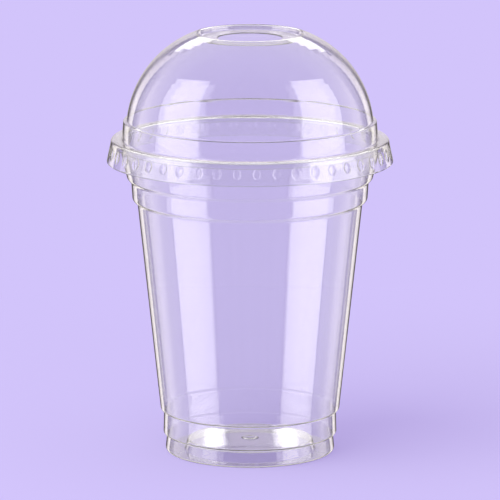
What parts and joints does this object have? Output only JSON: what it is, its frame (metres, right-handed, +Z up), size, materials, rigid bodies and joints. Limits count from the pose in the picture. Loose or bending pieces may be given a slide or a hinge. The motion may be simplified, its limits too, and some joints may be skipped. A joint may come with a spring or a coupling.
{
  "type": "plastic cup with lid",
  "caption": "Clear tapered cold-drink cup with a rolled rim and stepped foot, closed by a clear dome lid with a round hole in its sunken top.",
  "frame": {"origin": "centre of the cup's foot, on the surface it stands on", "axes": "+Z up along the axis of the cup and the lid, -Y towards the viewer of the picture"},
  "size_m": [0.1027, 0.1026, 0.1526],
  "materials": {
    "cup_clear": "clear thermoformed sheet, glossy",
    "lid_clear": "clear thermoformed sheet, glossy"
  },
  "bodies": {
    "cup": {"cup": "cup_clear"},
    "lid": {"dome_lid": "lid_clear"}
  },
  "joints": [
    {"name": "lid_lift", "type": "slide", "parent": "cup", "child": "lid", "axis": [0, 0, 1], "range_m": [0, 0.06]}
  ]
}
